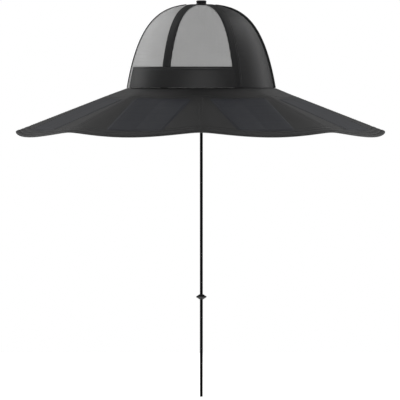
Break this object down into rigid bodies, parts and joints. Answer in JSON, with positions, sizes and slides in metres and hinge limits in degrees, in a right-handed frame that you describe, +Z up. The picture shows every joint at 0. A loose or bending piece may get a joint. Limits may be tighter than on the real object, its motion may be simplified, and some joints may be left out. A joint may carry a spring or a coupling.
{
  "type": "solar panel sun hat on a pole stand",
  "caption": "Wide-brimmed sun hat with a six-panel crown, net windows and flat solar panels on its ridged brim, held up on a slim two-part pole with a lock ring.",
  "frame": {"origin": "middle of the flat lower end of the pole", "axes": "+Z up along the pole, +X to the hat's front, +Y to the hat's left"},
  "size_m": [0.5098, 0.478, 0.5472],
  "materials": {
    "crown_cloth": "matt black woven polyester",
    "crown_net": "grey polyester net with open holes",
    "seam_tape": "black ribbed seam tape with two stitch rows",
    "brim_cloth": "black woven polyester with a soft gloss",
    "hem_binding": "black bias binding, stitched",
    "solar_laminate": "satin dark blue-black solar cells under clear film",
    "pole_enamel": "black powder coat",
    "lock_plastic": "moulded black nylon",
    "holder_plastic": "moulded black nylon"
  },
  "bodies": {
    "root": {"crown_front_left": "crown_cloth", "crown_front_right": "crown_cloth", "crown_side_net_left": "crown_net", "crown_side_net_right": "crown_net", "crown_rear_net_left": "crown_net", "crown_rear_net_right": "crown_net", "seam_tape_front": "seam_tape", "seam_tape_front_left": "seam_tape", "seam_tape_front_right": "seam_tape", "seam_tape_rear_left": "seam_tape", "seam_tape_rear_right": "seam_tape", "seam_tape_rear": "seam_tape", "crown_band_left": "crown_cloth", "crown_band_right": "crown_cloth", "crown_cap": "crown_cloth", "crown_button": "seam_tape", "brim_cloth": "brim_cloth", "brim_hem_binding": "hem_binding", "solar_panel_1": "solar_laminate", "solar_panel_2": "solar_laminate", "solar_panel_3": "solar_laminate", "solar_panel_4": "solar_laminate", "solar_panel_5": "solar_laminate", "solar_panel_6": "solar_laminate", "solar_panel_7": "solar_laminate", "solar_panel_8": "solar_laminate", "pole_lower": "pole_enamel", "pole_upper": "pole_enamel", "pole_lock_ring": "lock_plastic", "hat_holder": "holder_plastic"}
  },
  "joints": []
}
